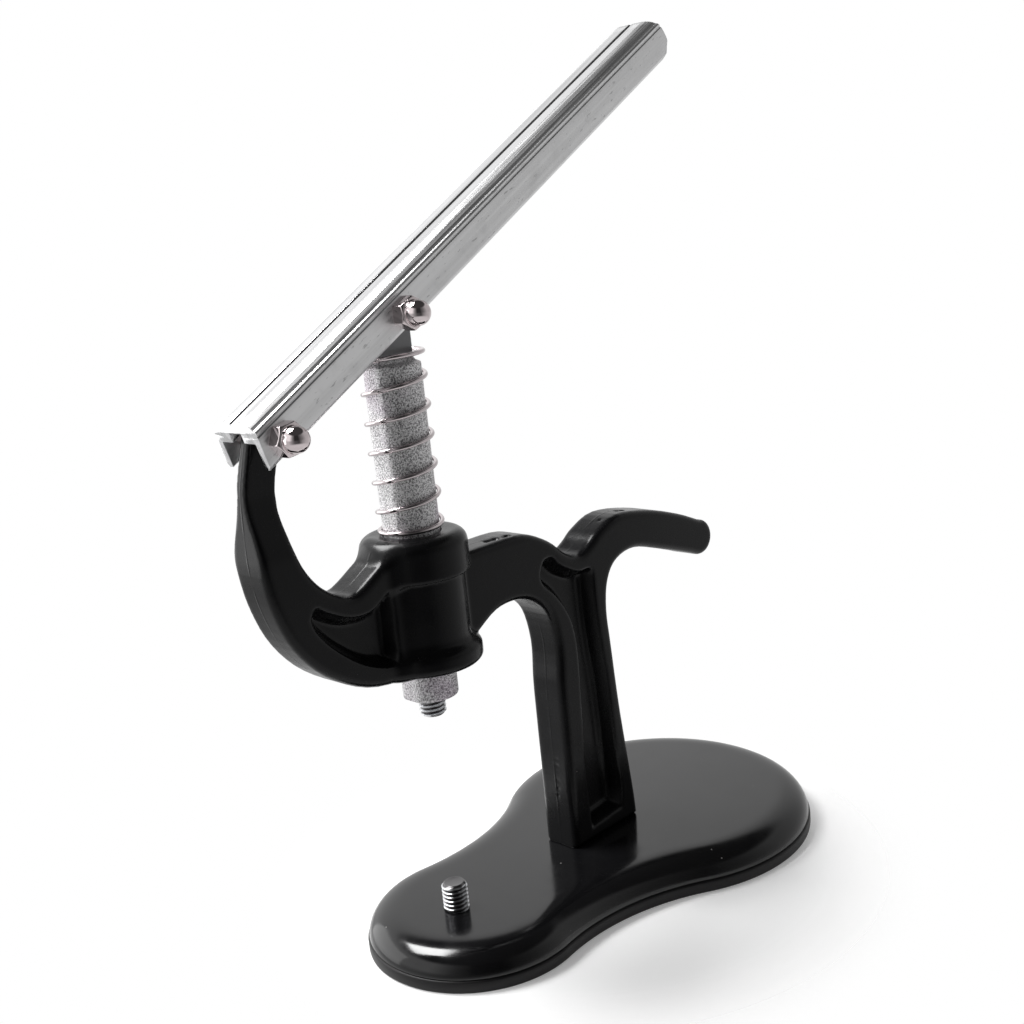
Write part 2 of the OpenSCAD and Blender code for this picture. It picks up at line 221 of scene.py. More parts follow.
class Shader:
    """A material's node graph: each call adds one node and returns its output socket."""

    def __init__(self, name):
        self.material = bpy.data.materials.new(name)
        self.material.use_nodes = True
        self.tree = self.material.node_tree
        self.principled = self.tree.nodes["Principled BSDF"]
        self.place = self.node("TexCoord", "Object")

    def link(self, value, socket):
        """Feeds a socket with another node's output, a colour or a number."""
        if isinstance(value, bpy.types.NodeSocket):
            self.tree.links.new(value, socket)
        elif isinstance(value, (tuple, list)) and len(value) == 3 and socket.type == "RGBA":
            socket.default_value = (*value, 1)
        else:
            socket.default_value = value

    def node(self, kind, output, settings=(), **inputs):
        """Adds a node. Its inputs are given by name, or by number as i0, i1 and so on."""
        node = self.tree.nodes.new("ShaderNode" + kind)
        for key, value in dict(settings).items():
            setattr(node, key, value)
        for key, value in inputs.items():
            name = key.replace("_", " ")
            self.link(value, node.inputs[int(key[1:])] if key[1:].isdigit() else node.inputs[name])
        return node.outputs[output]

    def math(self, operation, a, b=0.0):
        return self.node("Math", 0, {"operation": operation}, i0=a, i1=b)

    def ramp(self, value, low, high, out_low=0.0, out_high=1.0):
        """value from low to high, turned smoothly into out_low to out_high."""
        return self.node("MapRange", 0, {"interpolation_type": "SMOOTHSTEP"}, Value=value,
                         From_Min=low, From_Max=high, To_Min=out_low, To_Max=out_high)

    def along(self, turn, stretch):
        """The place in a frame turned by turn, drawn out along that frame's X."""
        return self.node("Mapping", 0, {"vector_type": "TEXTURE"}, Vector=self.place, Rotation=turn,
                         Scale=(stretch, 1, 1))

    def noise(self, scale, detail=3.0, roughness=0.5, place=None):
        return self.node("TexNoise", "Fac", Vector=place or self.place, Scale=scale, Detail=detail,
                         Roughness=roughness)

    def specks(self, scale, size, share):
        """1 in small round spots, one in that share of the cells of a random pattern."""
        voronoi = self.tree.nodes.new("ShaderNodeTexVoronoi")
        self.link(self.place, voronoi.inputs["Vector"])
        voronoi.inputs["Scale"].default_value = scale
        near = self.ramp(voronoi.outputs["Distance"], size, size * 0.5)
        lot = self.node("SeparateColor", 0, Color=voronoi.outputs["Color"])
        return self.math("MULTIPLY", near, self.ramp(lot, 1 - share, 1.0001 - share))

    def mix(self, factor, a, b):
        """Colour a where factor is 0, and b where it is 1."""
        node = self.tree.nodes.new("ShaderNodeMix")
        node.data_type = "RGBA"
        self.link(factor, node.inputs[0])
        self.link(a, node.inputs[6])
        self.link(b, node.inputs[7])
        return node.outputs[2]

    def bump(self, height, depth_mm, strength=1.0, under=None):
        """A normal bent by a relief of that depth, over the one that lies under it."""
        node = self.tree.nodes.new("ShaderNodeBump")
        self.link(strength, node.inputs["Strength"])
        node.inputs["Distance"].default_value = depth_mm * MM
        self.link(height, node.inputs["Height"])
        if under is not None:
            self.link(under, node.inputs["Normal"])
        return node.outputs[0]

    def finish(self, **inputs):
        """Sets the principled shader's inputs and returns the material."""
        for key, value in inputs.items():
            self.link(value, self.principled.inputs[key.replace("_", " ")])
        return self.material


def black_paint(name, gloss, grain_mm, specks_share, shine, seam_mm=0):
    """Gloss black paint on a casting: fine grain, uneven gloss, dust and the mould's seam along y = 0."""
    s = Shader(name)
    dust = s.specks(420, 0.09, specks_share)
    mottle = s.noise(60, 4)
    normal = s.bump(s.noise(700, 2), grain_mm, 0.5)
    normal = s.bump(s.noise(2600, 2, 0.7), grain_mm * 0.35, 0.4, normal)
    normal = s.bump(dust, 0.05, 0.6, normal)
    if seam_mm:
        aside = s.math("ABSOLUTE", s.node("SeparateXYZ", 1, Vector=s.place))
        seam = s.ramp(aside, 0.05 * MM, 0.35 * MM, 1, 0)
        kept = s.ramp(s.noise(140, 3), 0.35, 0.6)
        normal = s.bump(s.math("MULTIPLY", seam, kept), seam_mm, 1.0, normal)
    color = s.mix(s.ramp(mottle, 0.3, 0.7), (0.0035, 0.0035, 0.004), (0.006, 0.006, 0.0066))
    color = s.mix(dust, color, (0.30, 0.29, 0.28))
    rough = s.ramp(s.noise(180, 3), 0.25, 0.75, gloss, gloss + 0.10)
    return s.finish(Base_Color=color, Roughness=s.math("ADD", rough, s.math("MULTIPLY", dust, 0.4)),
                    Specular_IOR_Level=shine, Normal=normal)


def rubber():
    """Dull black rubber with a fine grain."""
    s = Shader("rubber_pad")
    normal = s.bump(s.noise(1500, 3), 0.03, 0.5)
    color = s.mix(s.noise(90, 3), (0.006, 0.006, 0.007), (0.014, 0.013, 0.013))
    return s.finish(Base_Color=color, Roughness=0.42, Specular_IOR_Level=0.25, Normal=normal)


def cast_grey():
    """Tumbled die-cast metal: bright grains, dark pits and a purple bloom. The ram's head is smooth."""
    s = Shader("diecast_grey")
    grains = s.noise(3000, 3, 0.75)
    coarse = s.noise(1300, 3, 0.6)
    height = s.node("SeparateXYZ", 2, Vector=s.place)
    head = s.ramp(height, (ram_shoulder + 0.1) * MM, (ram_shoulder + 1.3) * MM)
    tone = s.ramp(grains, 0.38, 0.58)
    color = s.mix(tone, (0.15, 0.147, 0.153), (0.90, 0.89, 0.90))
    bloom = s.ramp(s.noise(85, 2), 0.48, 0.66, 0.0, 0.45)
    color = s.mix(bloom, color, s.mix(tone, (0.15, 0.10, 0.15), (0.74, 0.62, 0.74)))
    color = s.mix(head, color, (0.20, 0.20, 0.205))
    rough = s.ramp(head, 0, 1, 0.46, 0.30)
    relief = s.math("ADD", grains, s.math("MULTIPLY", coarse, 0.5))
    strength = s.math("SUBTRACT", 1.0, s.math("MULTIPLY", head, 0.85))
    return s.finish(Base_Color=color, Metallic=0.7, Roughness=rough, Normal=s.bump(relief, 0.11, strength))


def extruded(name, rough, tone, contrast, wear):
    """Drawn aluminium: fine lines along the lever, faint stains, scratches, scuffs and nicks."""
    s = Shader(name)
    drawn = (0, -lever_turn, 0)
    askew = (0.2, 0.9 - lever_turn, 0.3)
    lines = s.noise(2600, 3, 0.65, s.along(drawn, 90))
    broad = s.noise(520, 3, 0.6, s.along(drawn, 60))
    stain = s.noise(160, 5, 0.65)
    nick = s.specks(330, 0.13, wear)
    scratch = s.ramp(s.noise(900, 2, 0.5, s.along(askew, 14)), 0.70, 0.76)
    scuff = s.ramp(s.noise(1500, 3, 0.6, s.along(drawn, 4)), 0.62, 0.70)
    color = s.mix(s.ramp(broad, 0.35, 0.65), tuple(c * (1 - contrast) for c in tone), tone)
    color = s.mix(s.ramp(stain, 0.50, 0.72, 0, 0.35), color, tuple(c * 0.70 for c in tone))
    color = s.mix(s.math("MULTIPLY", scratch, 0.35), color, (0.95, 0.95, 0.95))
    color = s.mix(s.math("MULTIPLY", scuff, min(1, wear * 14)), color, tuple(c * 0.5 for c in tone))
    color = s.mix(nick, color, (0.05, 0.05, 0.055))
    roughness = s.ramp(lines, 0.3, 0.7, rough * 0.8, rough * 1.25)
    normal = s.bump(lines, 0.012, 0.5)
    normal = s.bump(nick, -0.08, 0.8, normal)
    return s.finish(Base_Color=color, Metallic=1.0, Roughness=roughness, Normal=normal)


def plated(name, color, rough, grain_mm=0.004, root_mm=0):
    """Plated steel, painted dark below the radius root_mm about the ram's axis, as painted shade in a
    thread's roots.
    """
    s = Shader(name)
    smear = s.noise(900, 3)
    tone = s.mix(s.ramp(smear, 0.35, 0.65), tuple(c * 0.93 for c in color), color)
    if root_mm:
        flat = s.node("VectorMath", 0, {"operation": "MULTIPLY"}, i0=s.place, i1=(1, 1, 0))
        radius = s.node("VectorMath", 1, {"operation": "LENGTH"}, i0=flat)
        # Painted shade: below root_mm the colour turns near black, in the thread's roots
        tone = s.mix(s.ramp(radius, (root_mm + 0.15) * MM, root_mm * MM, 0, 0.85), tone, (0.05, 0.045, 0.045))
    normal = s.bump(s.noise(2400, 2), grain_mm, 0.5)
    return s.finish(Base_Color=tone, Metallic=1.0, Normal=normal,
                    Roughness=s.ramp(smear, 0.3, 0.7, rough, rough * 1.6))


frame_paint = black_paint("frame_paint", gloss=0.20, grain_mm=0.034, specks_share=0.010, shine=0.20,
                          seam_mm=0.045)
base_paint = black_paint("base_paint", gloss=0.10, grain_mm=0.010, specks_share=0.030, shine=0.5)
pad_rubber = rubber()
die_cast = cast_grey()
side_metal = extruded("lever_side_metal", rough=0.42, tone=(0.93, 0.93, 0.935), contrast=0.10, wear=0.05)
top_metal = extruded("lever_top_metal", rough=0.16, tone=(0.90, 0.90, 0.91), contrast=0.30, wear=0.01)
shoulder_metal = extruded("lever_shoulder_metal", rough=0.33, tone=(0.88, 0.88, 0.885), contrast=0.20,
                          wear=0.02)
nickel = plated("nickel_plate", (0.74, 0.66, 0.67), rough=0.03)
spring_wire = plated("spring_wire", (0.66, 0.60, 0.61), rough=0.07)
zinc = plated("zinc_plate", (0.72, 0.73, 0.75), rough=0.16, grain_mm=0.010)
# The thread's material has painted shade in its roots, below root_mm
thread_zinc = plated("zinc_thread", (0.72, 0.73, 0.75), rough=0.16, grain_mm=0.010, root_mm=2.58)

# ---------------------------------------------------------------- base and pad

front_lobe, front_r = (5.8, 0.0), 25.6
rear_lobe, rear_r = (72.0, 0.0), 40.7
waist_r = 56.0
front_steps, waist_steps, rear_steps = 88, 36, 110
base_top = corner("base_casting", True)[2]
pad_top = corner("base_pad", True)[2]
# Half of the gap left between the pad and the casting
skin_gap2 = 0.02

lobe_gap = rear_lobe[0] - front_lobe[0]
reach_front, reach_rear = front_r + waist_r, rear_r + waist_r
flank_x = (reach_front ** 2 - reach_rear ** 2 + lobe_gap ** 2) / (2 * lobe_gap)
flank = np.array([front_lobe[0] + flank_x, math.sqrt(reach_front ** 2 - flank_x ** 2)])
front_a = math.degrees(math.atan2(flank[1], flank[0] - front_lobe[0]))
rear_a = math.degrees(math.atan2(flank[1], flank[0] - rear_lobe[0]))


def base_outline(d):
    """The base's outline moved inwards by d, anticlockwise."""
    return np.concatenate([
        arc(front_lobe, front_r - d, front_a, 360 - front_a, front_steps)[:-1],
        arc(flank * (1, -1), waist_r + d, 180 - front_a, 180 - rear_a, waist_steps)[:-1],
        arc(rear_lobe, rear_r - d, -rear_a, rear_a, rear_steps)[:-1],
        arc(flank, waist_r + d, rear_a - 180, front_a - 180, waist_steps)[:-1]])


def loft_base(name, profile, material):
    """A closed solid through the base's outline at each (inset, height) of a profile.

    Its flat ends are strips across the base, from the front tip to the back.
    """
    rings = [np.column_stack([base_outline(d), np.full(len(base_outline(d)), z)]) for d, z in profile]
    columns = len(rings[0])
    faces = rings_to_faces(len(rings), columns)
    tip = front_steps // 2
    half = columns // 2
    last = (len(rings) - 1) * columns
    for j in range(half):
        a, b = (tip + j) % columns, (tip - j) % columns
        c, d = (tip - j - 1) % columns, (tip + j + 1) % columns
        strip = [a, d, c] if j == 0 else [a, c, b] if j == half - 1 else [a, d, c, b]
        faces.append(strip)
        faces.append([last + k for k in reversed(strip)])
    return new_piece(name, np.concatenate(rings), faces, material)


# The casting's rounded edge: where it starts and ends, inwards from the outline, and how fast it turns
lip_in, edge_w, foot_roll, shoulder_roll = 0.4, 9.7, 1.05, 0.71
edge_a = np.radians(np.linspace(2, 90, 34))
edge = list(zip(edge_w - (edge_w - lip_in) * np.cos(edge_a) ** shoulder_roll,
                pad_top + (base_top - pad_top) * np.sin(edge_a) ** foot_roll))
casting_low = pad_top + skin_gap2
casting_profile = [(lip_in + 1.2, casting_low), (lip_in + 0.15, casting_low)] + edge
base = loft_base("base_casting_skin", casting_profile, base_paint)
finish_piece(base, "frame", "black_paint", "base_casting")

pad_high = pad_top - skin_gap2
pad_profile = [(0.9, 0.0), (0.38, 0.06), (0.12, 0.3), (0.06, 0.65),
               (0.06, pad_top - 0.5), (0.16, pad_top - 0.2), (0.45, pad_high), (1.6, pad_high)]
pad = loft_base("base_pad_skin", pad_profile, pad_rubber)
finish_piece(pad, "frame", "rubber_pad", "base_pad")

# ---------------------------------------------------------------- frame casting

foot_front, foot_rear = 35.7, 59.6
tongue_w2, frame_w2 = 1.6, 5.3
# The heights between which the arm thins from the frame's thickness to the tongue's
thin_low, thin_high = 100, 114
front_bore_r = 2.05
pocket_depth, pocket_draft = 4.0, 0.5
flange_r, flange_mid, flange_h2 = 12.5, 70.5, 2.3
barrel_r, barrel_low, barrel_high = 10.3, 70, 92
collar_r, collar_low = 11.7, 88.4
ram_r, ram_flat = 6.1, 5.7

column_front = [[foot_front, base_top], [35.8, 30], [35.8, 48]]
arch = smooth([[35.9, 52], [36.4, 61], [34.4, 69.4], [30, 73.8], [24.5, 75.7], [18, 75.2], [12, 72]])
arm_bottom = smooth([[0, 68.5], [-9.5, 67.9], [-20, 69.4], [-29.6, 74.9], [-36.1, 82.2], [-39.7, 90.5],
                     [-41.2, 98.5], [-41.2, 107], [-40.6, 115], [-39.2, 120.5]])
tongue_end = arc(pivot, 3.8, 158, -8, 14)
arm_top = smooth([[-31.9, 120], [-33.4, 115], [-34, 108], [-32.8, 100.5], [-29.1, 94.3], [-24.7, 90.8],
                  [-21.3, 89.6], [-18.2, 90.6], [-13, 93.6], [-8.2, 96]])
bridge_top = smooth([[8, 90.4], [18, 90.6], [28.8, 90.2], [36.7, 86.8], [42, 82.6], [46.3, 80.9],
                     [50.3, 82.4], [54.4, 85], [62, 87.3], [74, 85.6], [86, 81.9], [94.6, 78.3]])
hook_tip = arc([94.3, 73.6], 4.7, 62, -104, 10)
hook_under = smooth([[90.5, 70.1], [78, 74.4], [67.5, 77.4], [60, 76.2], [56.2, 72], [54.9, 65], [55.4, 56],
                     [56.5, 40], [58, 26], [59.2, 15], [foot_rear, base_top]])
frame_outline = np.concatenate([column_front, arch, arm_bottom, tongue_end, arm_top, bridge_top, hook_tip,
                                hook_under])

column_pocket = smooth([[41.8, 12], [41.5, 28], [42, 42], [42.5, 56], [42, 63], [40.4, 68],
                        [37, 73.1], [33.2, 76.8], [32.3, 79.6], [34, 82.8], [37, 82.8], [40, 80],
                        [45.2, 77.3], [50, 76.6], [50.5, 70], [50.7, 64], [51.4, 56], [52.4, 47],
                        [53, 36], [53.4, 26], [54, 18], [53.4, 13]])
arm_pocket = smooth([[-32.3, 87.6], [-30.6, 89.8], [-27.4, 87.9], [-22.6, 85.6], [-17.6, 85.2], [-14, 86.9],
                     [-11.8, 88], [-11.2, 84], [-11.3, 78], [-11.4, 73.6], [-12.8, 71.9], [-17, 72.9],
                     [-22, 75.5], [-27.6, 80.2], [-31.2, 84.6], [-32.3, 87.6]])
# Blowholes in the casting's skin: centre and radius
bridge_pits = [((19.6, -1.8, 90.9), 0.9), ((20.8, -2.0, 90.8), 0.75), ((22.0, -2.2, 90.9), 1.05),
               ((24.2, -2.6, 90.8), 0.65), ((25.5, -2.5, 90.8), 1.0)]
hook_pits = [((58.0, -1.9, 86.6), 0.45), ((65.4, -1.2, 87.2), 0.7), ((66.8, -1.7, 87.1), 0.75)]
column_pits = [((35.6, -1.0, 31.6), 0.35), ((35.6, -0.9, 29.9), 0.45), ((35.6, -0.7, 28.8), 0.35),
               ((35.6, -0.8, 26.0), 0.4), ((35.6, -0.6, 23.7), 0.45), ((35.6, -0.4, 21.9), 0.4)]


def boss(x, y, z):
    """The ram's guide: a barrel with a flange at its foot and a rounded collar at its top."""
    r = np.hypot(x, y)
    flange = both(r - flange_r, np.abs(z - flange_mid) - flange_h2, 1.5)
    barrel = both(r - barrel_r, np.maximum(barrel_low - z, z - barrel_high))
    collar = both(both(r - collar_r, z - spring_seat, 2.8), collar_low - z, 0.5)
    return either(either(flange, barrel, 2.0), collar, 0.35)


def ram_section(x, y, grow):
    """The ram's round section with a flat at its front, made larger by grow."""
    return both(np.hypot(x, y) - ram_r - grow, -x - ram_flat - grow, 0.25)


def frame_shape(x, y, z):
    """A plate with pockets on both sides and the boss through it, bored for the ram and the pivot."""
    outline = polygon_distance(x, z, frame_outline)
    rise = np.clip((z - thin_low) / (thin_high - thin_low), 0, 1)
    half_width = frame_w2 + (tongue_w2 - frame_w2) * rise * rise * (3 - 2 * rise)
    side = (np.abs(y) - half_width) * (1 - 0.3 * rise * (1 - rise))
    edge_r = np.interp(z, [96, 112], [1.7, 0.6])
    plate = both(outline, side, edge_r)
    depth = frame_w2 - np.abs(y)
    for pocket in (column_pocket, arm_pocket):
        wall = (polygon_distance(x, z, pocket) + pocket_draft * depth) * 0.9
        hollow = both(wall, depth - pocket_depth, 0.8)
        plate = without(plate, hollow, 0.4)
    fillet_r = np.interp(x, [-6, 4], [2.2, 0.6])
    body = either(plate, boss(x, y, z), fillet_r)
    body = without(body, ram_section(x, y, 0.05), 0.3)
    body = without(body, np.hypot(x - pivot[0], z - pivot[1]) - front_bore_r)
    for (px, py, pz), r in bridge_pits + hook_pits + column_pits:
        body = without(body, np.sqrt((x - px) ** 2 + (y - py) ** 2 + (z - pz) ** 2) - r, 0.15)
    return np.maximum(body, base_top - z)


low, high = corner("frame_casting", False), corner("frame_casting", True)
casting = solid_piece("frame_casting_skin", frame_shape, low - 1.2, high + 1.2,
                      0.45, frame_paint)
finish_piece(casting, "frame", "black_paint", "frame_casting")

# ---------------------------------------------------------------- ram

ram_foot = corner("ram", False)[2]
head_x2, head_y2 = 4.7, 1.8
eye_r, eye_wall = 2.45, 0.85
# The eye is longer than it is high by the pivot's travel along X, as the lever comes level
bolt_travel = pivot_gap * (1 - math.cos(lever_turn))


def ram_shape(x, y, z):
    """The ram: a flatted bar with a thin head, and in it the eye that is longer than it is high."""
    shaft = both(ram_section(x, y, 0), np.maximum(ram_foot - z, z - ram_shoulder), 0.45)
    along = np.clip(x - ram_eye[0], 0, bolt_travel)
    from_eye = np.hypot(x - ram_eye[0] - along, z - ram_eye[1])
    neck_low, neck_high = ram_shoulder - 1, ram_eye[1]
    neck = np.abs(z - (neck_low + neck_high) / 2) - (neck_high - neck_low) / 2
    neck = np.maximum(np.abs(x) - head_x2, neck)
    head = both(np.minimum(neck, from_eye - eye_r - eye_wall), np.abs(y) - head_y2, 0.35)
    return without(either(shaft, head, 1.1), from_eye - eye_r, 0.2)


ram = solid_piece("ram_bar", ram_shape, corner("ram", False) - 0.6, corner("ram", True) + 0.6,
                  0.25, die_cast)
finish_piece(ram, "ram", "diecast_grey", "ram")

# ---------------------------------------------------------------- studs

def threaded_stud(name, z_low, z_high, up, material):
    """An M6 stud with a right-hand thread, chamfered at its free end: the upper one if up, else the lower."""
    major, minor, pitch = 2.98, 2.38, 1.0
    tip_r, tip_slope = 2.25, 1.05
    columns, rows_per_turn = 72, 22
    rows = int((z_high - z_low) / pitch * rows_per_turn)
    z = np.linspace(z_low, z_high, rows + 1)[:, None]
    angle = 2 * np.pi * np.arange(columns)[None, :] / columns
    turn = (z / pitch - angle / (2 * np.pi)) % 1
    r = np.interp(turn, [0, 0.07, 0.40, 0.60, 0.93, 1], [major, major, minor, minor, major, major])
    free = (z_high - z) if up else (z - z_low)
    r = np.minimum(r, tip_r + tip_slope * free)
    points = np.stack([r * np.cos(angle), r * np.sin(angle), z + 0 * r], -1).reshape(-1, 3)
    faces = rings_to_faces(rows + 1, columns)
    # How far the inner ring of each end face lies above the face, at the lower end and at the upper one
    ring_lift = (0, -0.05) if up else (-0.05, 0.05)
    for end, lift in zip((0, rows), ring_lift):
        face_z = z[end, 0]
        last = len(points)
        for radius, ring_z in ((2.1, face_z), (1.9, face_z + lift)):
            ring = [radius * np.cos(angle[0]), radius * np.sin(angle[0]), np.full(columns, ring_z)]
            points = np.concatenate([points, np.column_stack(ring)])
        centre = len(points)
        points = np.concatenate([points, [[0, 0, face_z]]])
        k = np.arange(columns)
        nxt = (k + 1) % columns
        rings = [end * columns, last, last + columns]
        for a, b in zip(rings, rings[1:]):
            q = np.stack([a + k, a + nxt, b + nxt, b + k], 1)
            faces += list(q if end else q[:, ::-1])
        t = np.stack([rings[-1] + k, rings[-1] + nxt, np.full(columns, centre)], 1)
        faces += list(t if end else t[:, ::-1])
    return new_piece(name, points, faces, material, sharp=50)


anvil_low, anvil_high = corner("anvil_stud", False)[2], corner("anvil_stud", True)[2]
anvil = threaded_stud("anvil_stud_thread", anvil_low, anvil_high, True, thread_zinc)
finish_piece(anvil, "frame", "zinc_steel", "anvil_stud")
stud_low, stud_high = corner("ram_stud", False)[2], corner("ram_stud", True)[2]
ram_stud = threaded_stud("ram_stud_thread", stud_low, stud_high, False, thread_zinc)
finish_piece(ram_stud, "ram", "zinc_steel", "ram_stud")

# ---------------------------------------------------------------- return spring

wire_d, coil_d, coil_pitch = 1.0, 13.5, 6.26
spring_low, spring_high = corner("return_spring", False)[2], corner("return_spring", True)[2]
closed_low, closed_high, closed_pitch = 0.8, 0.6, 1.05
open_turns = (spring_high - spring_low - wire_d - closed_pitch * (closed_low + closed_high)) / coil_pitch
turns = closed_low + open_turns + closed_high


def coil_height(t):
    """How high the wire has climbed after t turns: the closed end turns climb less than the open ones."""
    return (closed_pitch * np.minimum(t, closed_low) + coil_pitch * np.clip(t - closed_low, 0, open_turns)
            + closed_pitch * np.maximum(t - closed_low - open_turns, 0))


def spring_mesh():
    """The coil, with its pitch changing smoothly between the open turns and the closed ones."""
    per_turn, sides = 72, 16
    blend = 6
    steps = int(turns * per_turn)
    t = np.linspace(0, turns, steps + 1)
    height = coil_height(t)
    window = np.ones(2 * blend + 1) / (2 * blend + 1)
    soft = np.convolve(np.pad(height, blend, "reflect", reflect_type="odd"), window, "valid")
    centre = np.stack([coil_d / 2 * np.cos(2 * np.pi * t), coil_d / 2 * np.sin(2 * np.pi * t),
                       spring_low + wire_d / 2 + soft], 1)
    out = np.stack([np.cos(2 * np.pi * t), np.sin(2 * np.pi * t), 0 * t], 1)
    ahead = np.gradient(centre, axis=0)
    ahead /= np.linalg.norm(ahead, axis=1)[:, None]
    up = np.cross(ahead, out)
    a = 2 * np.pi * np.arange(sides) / sides
    r = wire_d / 2
    rows = [centre + r * (np.cos(b) * out - np.sin(b) * up) for b in a]
    points = np.stack(rows, 1).reshape(-1, 3)
    faces = [list(reversed(q)) for q in rings_to_faces(steps + 1, sides)]
    faces += [list(range(sides)), [steps * sides + k for k in reversed(range(sides))]]
    return new_piece("return_spring_coil", points, faces, spring_wire, sharp=60)


spring = spring_mesh()
finish_piece(spring, "frame", "spring_steel", "return_spring")
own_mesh(spring)

# ---------------------------------------------------------------- lever

# In the lever's own frame: x back from the front pivot and n up from it. The nose's x grows by nose_lean * n
lever_low, lever_crown = -2.95, 6.5
nose_x, nose_lean = -5.15, 0.246
lever_l = 152.0
inner_w2, guide_w2, roof, guide_top = 5.5, 1.9, 2.4, 4.3
tail_x = nose_x + nose_lean * lever_low + lever_l
on_lever = np.array(Matrix.Rotation(-lever_turn, 3, "Y"))

# Right half of the section, from the middle of the guide slot's roof round to the middle of the crown
inner_face = [(0, guide_top), (guide_w2, guide_top), (guide_w2, roof), (inner_w2, roof),
              (inner_w2, lever_low)]
outer_face = [(lever_w2 - 0.6, lever_low), (lever_w2, lever_low + 0.8), (lever_w2, 3.6),
              (lever_w2 - 0.3, 3.9), (lever_w2, 4.25), (lever_w2, 4.6), (lever_w2 - 0.25, 4.95),
              (lever_w2 - 0.7, 5.1)]
shoulder = [(6, 5.6), (5.3, 6.05), (4.4, 6.35), (3.4, lever_crown)]
top_groove = [(0.5, lever_crown), (0, lever_crown - 0.5)]
half_section = inner_face + outer_face + shoulder + top_groove


def rounded(points, r, steps=3):
    """A closed outline with its corners rounded, to r or a third of the shorter side beside each."""
    p = np.array(points, float)
    out = []
    for i in range(len(p)):
        a, b, c = p[i - 1], p[i], p[(i + 1) % len(p)]
        u, v = a - b, c - b
        lu, lv = np.linalg.norm(u), np.linalg.norm(v)
        cos = np.clip(u @ v / (lu * lv), -1, 1)
        if cos < -0.999:
            out.append(b)
            continue
        half = math.acos(cos) / 2
        back = min(r / math.tan(half), lu / 3, lv / 3)
        start, end = b + u / lu * back, b + v / lv * back
        for t in np.linspace(0, 1, steps + 1):
            out.append((1 - t) ** 2 * start + 2 * t * (1 - t) * b + t * t * end)
    return np.array(out)


def divided(points, longest):
    """The outline with points added so that no side is over longest."""
    out = []
    for a, b in zip(points, np.roll(points, -1, 0)):
        n = max(1, int(np.linalg.norm(b - a) / longest + 0.5))
        out += [a + (b - a) * k / n for k in range(n)]
    return np.array(out)


def tail_at(n):
    """How far the lever's tail reaches at height n: a small arc, a straight stretch and a large arc."""
    heel_r, tail_r = 3.4, 10.5
    heel_a, tail_a = math.radians(30), math.radians(4)
    heel_x, heel_n = tail_x - heel_r - 0.9, lever_low + heel_r
    arc_x, arc_n = tail_x - tail_r, 0.8
    heel_end = heel_n - heel_r * math.sin(heel_a)
    tail_start = arc_n - tail_r * math.sin(tail_a)
    if n < heel_end:
        return heel_x + math.sqrt(max(heel_r ** 2 - (n - heel_n) ** 2, 0))
    if n < tail_start:
        x0, x1 = heel_x + heel_r * math.cos(heel_a), arc_x + tail_r * math.cos(tail_a)
        return x0 + (x1 - x0) * (n - heel_end) / (tail_start - heel_end)
    return arc_x + math.sqrt(tail_r ** 2 - (n - arc_n) ** 2)


def lever_mesh():
    """The lever's points and faces: its section drawn out from nose to tail, and bevelled at both ends."""
    whole = half_section + [(-y, n) for y, n in reversed(half_section[1:-1])]
    section = divided(rounded(whole, 0.22), 0.5)
    ahead = np.roll(section, -1, 0) - np.roll(section, 1, 0)
    inwards = np.stack([-ahead[:, 1], ahead[:, 0]], 1) / np.linalg.norm(ahead, axis=1)[:, None]
    bevel = 0.16
    small = section + inwards * bevel
    n = section[:, 1]
    nose = nose_x + nose_lean * n
    tail = np.array([tail_at(v) for v in n])
    rows = [np.column_stack([nose_x + nose_lean * small[:, 1], small]),
            np.column_stack([nose + bevel * 0.3, section * 0.7 + small * 0.3]),
            np.column_stack([nose + bevel, section])]
    for t in (0.02, 0.25, 0.5, 0.75, 0.98):
        rows.append(np.column_stack([nose + bevel + (tail - nose - 2 * bevel) * t, section]))
    rows += [np.column_stack([tail - bevel, section]),
             np.column_stack([tail - bevel * 0.3, section * 0.7 + small * 0.3]),
             np.column_stack([np.array([tail_at(v) for v in small[:, 1]]), small])]
    columns = len(section)
    faces = rings_to_faces(len(rows), columns)
    cap = tessellate_polygon([[Vector((p[0], p[1], 0)) for p in small]])
    last = (len(rows) - 1) * columns
    faces += [list(t) for t in cap] + [[last + k for k in reversed(t)] for t in cap]
    points = np.concatenate(rows) @ on_lever.T + (pivot[0], 0, pivot[1])
    return points, faces


points, faces = lever_mesh()
lever = new_piece("lever_extrusion", points, faces, top_metal, sharp=35)
lever.data.materials.append(side_metal)
lever.data.materials.append(shoulder_metal)
# Outside the flat of the top, upright faces get the sides' metal and slanting ones the shoulders'
flat_top_w2 = 3.3
for polygon in lever.data.polygons:
    if abs(polygon.center.y) > flat_top_w2 * MM:
        tilt = abs(polygon.normal.y)
        polygon.material_index = 1 if tilt > 0.9 else 2 if tilt > 0.12 else 0
finish_piece(lever, "lever", "extruded_aluminium", "lever_channel")

# ---------------------------------------------------------------- pivot bolts and cap nuts

nut_flats, nut_h = 6.2, 3.1
dome_r, dome_low = 2.65, 4.15
head_flats, head_h = 7.0, 2.8
recess_r, recess_floor = 2.6, 2.55
shank_r, shank_past = 2.0, 3.0
# Turned this far about Y, a hexagon has two flats along the lever
hex_turn = 30 + lever_angle


def hexagon(x, z, across_flats, turned, r):
    """Distance to a hexagonal bar along Y, with its corners rounded to radius r."""
    sides = []
    for k in range(3):
        a = math.radians(60 * k + turned)
        sides.append(np.abs(x * math.cos(a) + z * math.sin(a)) - across_flats / 2)
    return both(both(sides[0], sides[1], r), sides[2], r)


